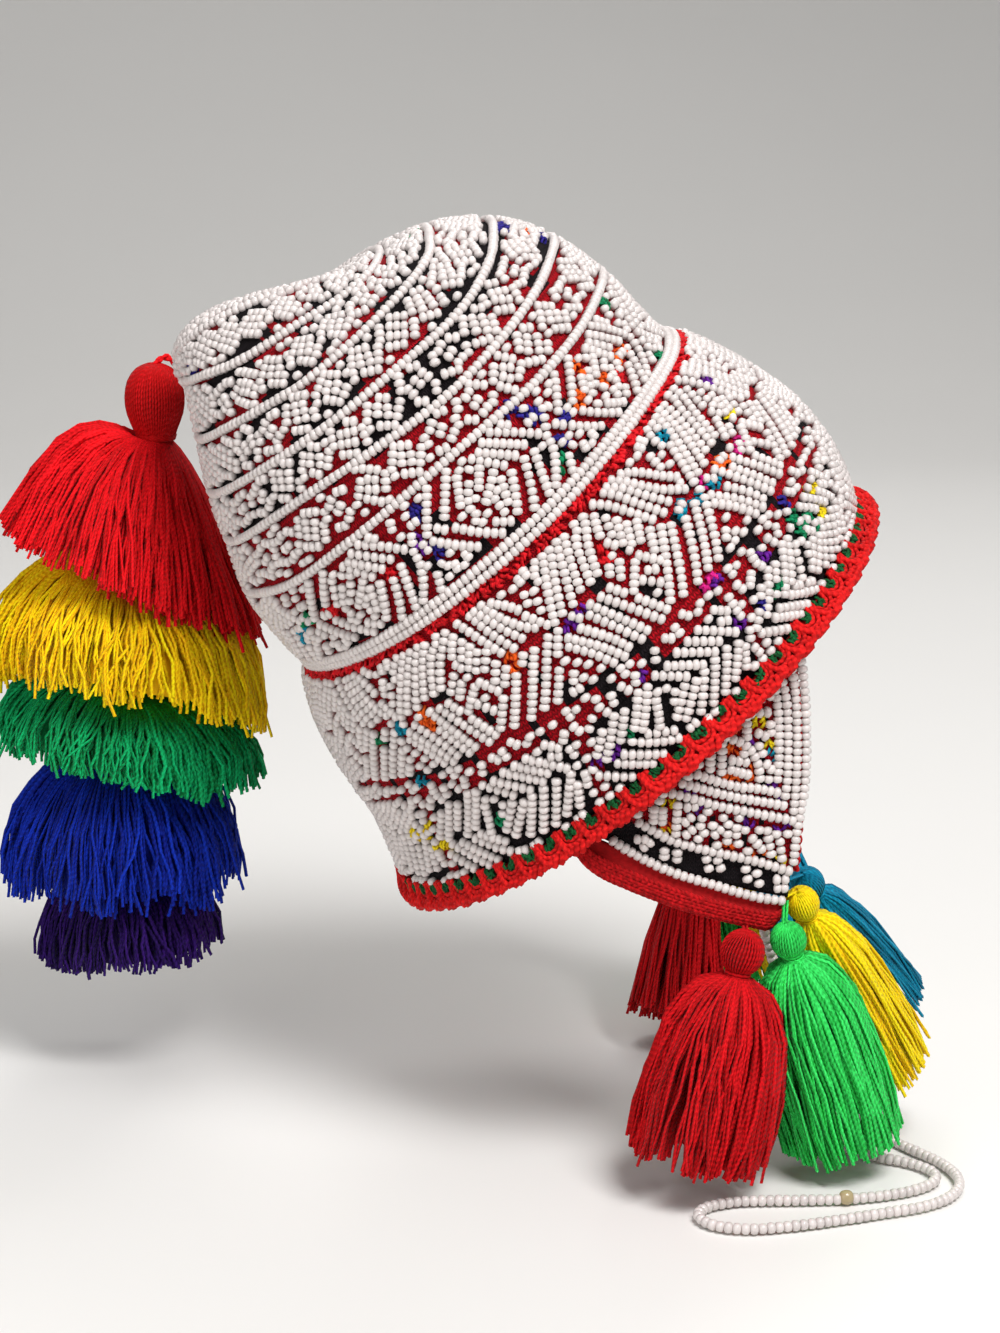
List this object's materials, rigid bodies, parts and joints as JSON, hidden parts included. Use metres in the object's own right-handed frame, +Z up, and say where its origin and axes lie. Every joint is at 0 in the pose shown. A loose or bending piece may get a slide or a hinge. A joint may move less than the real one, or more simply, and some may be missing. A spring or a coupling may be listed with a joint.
{
  "type": "beaded chullo hat",
  "caption": "Knitted chullo hat under white seed beads, with a folded pointed crown, crochet brim, beaded ear flaps, yarn tassels, a tiered peak tassel and a bead chin strap",
  "frame": {"origin": "middle of the hat's opening, where a head holds the hat", "axes": "+X is the wearer's front and +Z is up as the hat is shown, tipped back; +Y is the wearer's left"},
  "size_m": [0.2823, 0.2071, 0.2677],
  "materials": {
    "beadwork": "knitted wool covered in glossy white seed beads",
    "knit_ground": "fine knitted wool in red and black, matte",
    "red_crochet": "crocheted red wool, matte",
    "red_wool": "twisted yarn, soft sheen",
    "yellow_wool": "twisted yarn, soft sheen",
    "green_wool": "twisted yarn, soft sheen",
    "bright_green_wool": "twisted yarn, soft sheen",
    "blue_wool": "twisted yarn, soft sheen",
    "light_blue_wool": "twisted yarn, soft sheen",
    "purple_wool": "twisted yarn, soft sheen",
    "white_beads": "opaque white glass seed beads, satin gloss",
    "tan_bead": "tan glass bead"
  },
  "bodies": {
    "root": {"crown": "beadwork", "brim_trim": "red_crochet", "near_ear_flap": "beadwork", "near_flap_band": "red_crochet", "near_flap_piping": "red_crochet", "far_ear_flap": "beadwork", "far_flap_band": "red_crochet", "far_flap_piping": "red_crochet", "near_red_tassel": "red_wool", "near_green_tassel": "bright_green_wool", "near_yellow_tassel": "yellow_wool", "near_blue_tassel": "light_blue_wool", "far_red_tassel": "red_wool", "far_green_tassel": "bright_green_wool", "far_yellow_tassel": "yellow_wool", "far_blue_tassel": "light_blue_wool", "peak_cord": "red_wool", "peak_head": "red_wool", "peak_red_skirt": "red_wool", "peak_yellow_skirt": "yellow_wool", "peak_green_skirt": "green_wool", "peak_blue_skirt": "blue_wool", "peak_purple_skirt": "purple_wool", "chin_strap_near": "white_beads", "chin_strap_far": "white_beads", "strap_knot": "tan_bead"}
  },
  "joints": []
}
